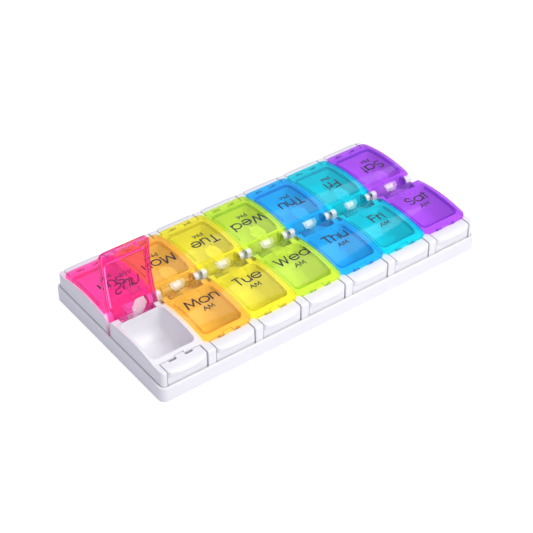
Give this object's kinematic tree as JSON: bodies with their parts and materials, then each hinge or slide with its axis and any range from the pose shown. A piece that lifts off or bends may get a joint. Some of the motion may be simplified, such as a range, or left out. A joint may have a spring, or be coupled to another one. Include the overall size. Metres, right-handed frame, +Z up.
{
  "type": "pill organizer",
  "caption": "Weekly pill organizer: two rows of cups back to back in a base tray, each cup with a hinged see-through lid and a push button.",
  "frame": {"origin": "middle of the base tray's underside, on the surface that the organizer stands on", "axes": "+X runs along the rows from Sunday to Saturday, -Y is the morning row's side, +Z is up"},
  "size_m": [0.2216, 0.1098, 0.061],
  "materials": {
    "white_plastic": "satin moulded",
    "spring_steel": "bright strip",
    "lid_sun": "clear tinted, polished",
    "lid_mon": "clear tinted, polished",
    "lid_tue": "clear tinted, polished",
    "lid_wed": "clear tinted, polished",
    "lid_thu": "clear tinted, polished",
    "lid_fri": "clear tinted, polished",
    "lid_sat": "clear tinted, polished"
  },
  "bodies": {
    "base": {"base_tray": "white_plastic", "cup_row_am": "white_plastic", "cup_row_pm": "white_plastic", "button_spring_sun_am": "spring_steel", "button_spring_mon_am": "spring_steel", "button_spring_tue_am": "spring_steel", "button_spring_wed_am": "spring_steel", "button_spring_thu_am": "spring_steel", "button_spring_fri_am": "spring_steel", "button_spring_sat_am": "spring_steel", "button_spring_sun_pm": "spring_steel", "button_spring_mon_pm": "spring_steel", "button_spring_tue_pm": "spring_steel", "button_spring_wed_pm": "spring_steel", "button_spring_thu_pm": "spring_steel", "button_spring_fri_pm": "spring_steel", "button_spring_sat_pm": "spring_steel"},
    "lid_sun_am": {"lid_sun_am": "lid_sun"},
    "button_sun_am": {"button_sun_am": "white_plastic"},
    "lid_mon_am": {"lid_mon_am": "lid_mon"},
    "button_mon_am": {"button_mon_am": "white_plastic"},
    "lid_tue_am": {"lid_tue_am": "lid_tue"},
    "button_tue_am": {"button_tue_am": "white_plastic"},
    "lid_wed_am": {"lid_wed_am": "lid_wed"},
    "button_wed_am": {"button_wed_am": "white_plastic"},
    "lid_thu_am": {"lid_thu_am": "lid_thu"},
    "button_thu_am": {"button_thu_am": "white_plastic"},
    "lid_fri_am": {"lid_fri_am": "lid_fri"},
    "button_fri_am": {"button_fri_am": "white_plastic"},
    "lid_sat_am": {"lid_sat_am": "lid_sat"},
    "button_sat_am": {"button_sat_am": "white_plastic"},
    "lid_sun_pm": {"lid_sun_pm": "lid_sun"},
    "button_sun_pm": {"button_sun_pm": "white_plastic"},
    "lid_mon_pm": {"lid_mon_pm": "lid_mon"},
    "button_mon_pm": {"button_mon_pm": "white_plastic"},
    "lid_tue_pm": {"lid_tue_pm": "lid_tue"},
    "button_tue_pm": {"button_tue_pm": "white_plastic"},
    "lid_wed_pm": {"lid_wed_pm": "lid_wed"},
    "button_wed_pm": {"button_wed_pm": "white_plastic"},
    "lid_thu_pm": {"lid_thu_pm": "lid_thu"},
    "button_thu_pm": {"button_thu_pm": "white_plastic"},
    "lid_fri_pm": {"lid_fri_pm": "lid_fri"},
    "button_fri_pm": {"button_fri_pm": "white_plastic"},
    "lid_sat_pm": {"lid_sat_pm": "lid_sat"},
    "button_sat_pm": {"button_sat_pm": "white_plastic"}
  },
  "joints": [
    {"name": "lid_sun_am_hinge", "type": "hinge", "parent": "base", "child": "lid_sun_am", "pos_m": [-0.093, -0.0039, 0.0186], "axis": [-1, 0, 0], "range_deg": [-99, 0]},
    {"name": "button_sun_am_press", "type": "hinge", "parent": "base", "child": "button_sun_am", "pos_m": [-0.093, -0.04675, 0.01299], "axis": [1, 0, 0], "range_deg": [0, 8], "stiffness_Nm_per_rad": 0.12, "springref_deg": -5.73, "deforming": ["button_spring_sun_am"]},
    {"name": "lid_mon_am_hinge", "type": "hinge", "parent": "base", "child": "lid_mon_am", "pos_m": [-0.062, -0.0039, 0.0186], "axis": [-1, 0, 0], "range_deg": [0, 99]},
    {"name": "button_mon_am_press", "type": "hinge", "parent": "base", "child": "button_mon_am", "pos_m": [-0.062, -0.04675, 0.01299], "axis": [1, 0, 0], "range_deg": [0, 8], "stiffness_Nm_per_rad": 0.12, "springref_deg": -5.73, "deforming": ["button_spring_mon_am"]},
    {"name": "lid_tue_am_hinge", "type": "hinge", "parent": "base", "child": "lid_tue_am", "pos_m": [-0.031, -0.0039, 0.0186], "axis": [-1, 0, 0], "range_deg": [0, 99]},
    {"name": "button_tue_am_press", "type": "hinge", "parent": "base", "child": "button_tue_am", "pos_m": [-0.031, -0.04675, 0.01299], "axis": [1, 0, 0], "range_deg": [0, 8], "stiffness_Nm_per_rad": 0.12, "springref_deg": -5.73, "deforming": ["button_spring_tue_am"]},
    {"name": "lid_wed_am_hinge", "type": "hinge", "parent": "base", "child": "lid_wed_am", "pos_m": [0, -0.0039, 0.0186], "axis": [-1, 0, 0], "range_deg": [0, 99]},
    {"name": "button_wed_am_press", "type": "hinge", "parent": "base", "child": "button_wed_am", "pos_m": [0, -0.04675, 0.01299], "axis": [1, 0, 0], "range_deg": [0, 8], "stiffness_Nm_per_rad": 0.12, "springref_deg": -5.73, "deforming": ["button_spring_wed_am"]},
    {"name": "lid_thu_am_hinge", "type": "hinge", "parent": "base", "child": "lid_thu_am", "pos_m": [0.031, -0.0039, 0.0186], "axis": [-1, 0, 0], "range_deg": [0, 99]},
    {"name": "button_thu_am_press", "type": "hinge", "parent": "base", "child": "button_thu_am", "pos_m": [0.031, -0.04675, 0.01299], "axis": [1, 0, 0], "range_deg": [0, 8], "stiffness_Nm_per_rad": 0.12, "springref_deg": -5.73, "deforming": ["button_spring_thu_am"]},
    {"name": "lid_fri_am_hinge", "type": "hinge", "parent": "base", "child": "lid_fri_am", "pos_m": [0.062, -0.0039, 0.0186], "axis": [-1, 0, 0], "range_deg": [0, 99]},
    {"name": "button_fri_am_press", "type": "hinge", "parent": "base", "child": "button_fri_am", "pos_m": [0.062, -0.04675, 0.01299], "axis": [1, 0, 0], "range_deg": [0, 8], "stiffness_Nm_per_rad": 0.12, "springref_deg": -5.73, "deforming": ["button_spring_fri_am"]},
    {"name": "lid_sat_am_hinge", "type": "hinge", "parent": "base", "child": "lid_sat_am", "pos_m": [0.093, -0.0039, 0.0186], "axis": [-1, 0, 0], "range_deg": [0, 99]},
    {"name": "button_sat_am_press", "type": "hinge", "parent": "base", "child": "button_sat_am", "pos_m": [0.093, -0.04675, 0.01299], "axis": [1, 0, 0], "range_deg": [0, 8], "stiffness_Nm_per_rad": 0.12, "springref_deg": -5.73, "deforming": ["button_spring_sat_am"]},
    {"name": "lid_sun_pm_hinge", "type": "hinge", "parent": "base", "child": "lid_sun_pm", "pos_m": [-0.093, 0.0039, 0.0186], "axis": [-1, 0, 0], "range_deg": [-50, 0]},
    {"name": "button_sun_pm_press", "type": "hinge", "parent": "base", "child": "button_sun_pm", "pos_m": [-0.093, 0.04675, 0.01299], "axis": [-1, 0, 0], "range_deg": [0, 8], "stiffness_Nm_per_rad": 0.12, "springref_deg": -5.73, "deforming": ["button_spring_sun_pm"]},
    {"name": "lid_mon_pm_hinge", "type": "hinge", "parent": "base", "child": "lid_mon_pm", "pos_m": [-0.062, 0.0039, 0.0186], "axis": [-1, 0, 0], "range_deg": [-99, 0]},
    {"name": "button_mon_pm_press", "type": "hinge", "parent": "base", "child": "button_mon_pm", "pos_m": [-0.062, 0.04675, 0.01299], "axis": [-1, 0, 0], "range_deg": [0, 8], "stiffness_Nm_per_rad": 0.12, "springref_deg": -5.73, "deforming": ["button_spring_mon_pm"]},
    {"name": "lid_tue_pm_hinge", "type": "hinge", "parent": "base", "child": "lid_tue_pm", "pos_m": [-0.031, 0.0039, 0.0186], "axis": [-1, 0, 0], "range_deg": [-99, 0]},
    {"name": "button_tue_pm_press", "type": "hinge", "parent": "base", "child": "button_tue_pm", "pos_m": [-0.031, 0.04675, 0.01299], "axis": [-1, 0, 0], "range_deg": [0, 8], "stiffness_Nm_per_rad": 0.12, "springref_deg": -5.73, "deforming": ["button_spring_tue_pm"]},
    {"name": "lid_wed_pm_hinge", "type": "hinge", "parent": "base", "child": "lid_wed_pm", "pos_m": [0, 0.0039, 0.0186], "axis": [-1, 0, 0], "range_deg": [-99, 0]},
    {"name": "button_wed_pm_press", "type": "hinge", "parent": "base", "child": "button_wed_pm", "pos_m": [0, 0.04675, 0.01299], "axis": [-1, 0, 0], "range_deg": [0, 8], "stiffness_Nm_per_rad": 0.12, "springref_deg": -5.73, "deforming": ["button_spring_wed_pm"]},
    {"name": "lid_thu_pm_hinge", "type": "hinge", "parent": "base", "child": "lid_thu_pm", "pos_m": [0.031, 0.0039, 0.0186], "axis": [-1, 0, 0], "range_deg": [-99, 0]},
    {"name": "button_thu_pm_press", "type": "hinge", "parent": "base", "child": "button_thu_pm", "pos_m": [0.031, 0.04675, 0.01299], "axis": [-1, 0, 0], "range_deg": [0, 8], "stiffness_Nm_per_rad": 0.12, "springref_deg": -5.73, "deforming": ["button_spring_thu_pm"]},
    {"name": "lid_fri_pm_hinge", "type": "hinge", "parent": "base", "child": "lid_fri_pm", "pos_m": [0.062, 0.0039, 0.0186], "axis": [-1, 0, 0], "range_deg": [-99, 0]},
    {"name": "button_fri_pm_press", "type": "hinge", "parent": "base", "child": "button_fri_pm", "pos_m": [0.062, 0.04675, 0.01299], "axis": [-1, 0, 0], "range_deg": [0, 8], "stiffness_Nm_per_rad": 0.12, "springref_deg": -5.73, "deforming": ["button_spring_fri_pm"]},
    {"name": "lid_sat_pm_hinge", "type": "hinge", "parent": "base", "child": "lid_sat_pm", "pos_m": [0.093, 0.0039, 0.0186], "axis": [-1, 0, 0], "range_deg": [-99, 0]},
    {"name": "button_sat_pm_press", "type": "hinge", "parent": "base", "child": "button_sat_pm", "pos_m": [0.093, 0.04675, 0.01299], "axis": [-1, 0, 0], "range_deg": [0, 8], "stiffness_Nm_per_rad": 0.12, "springref_deg": -5.73, "deforming": ["button_spring_sat_pm"]}
  ]
}
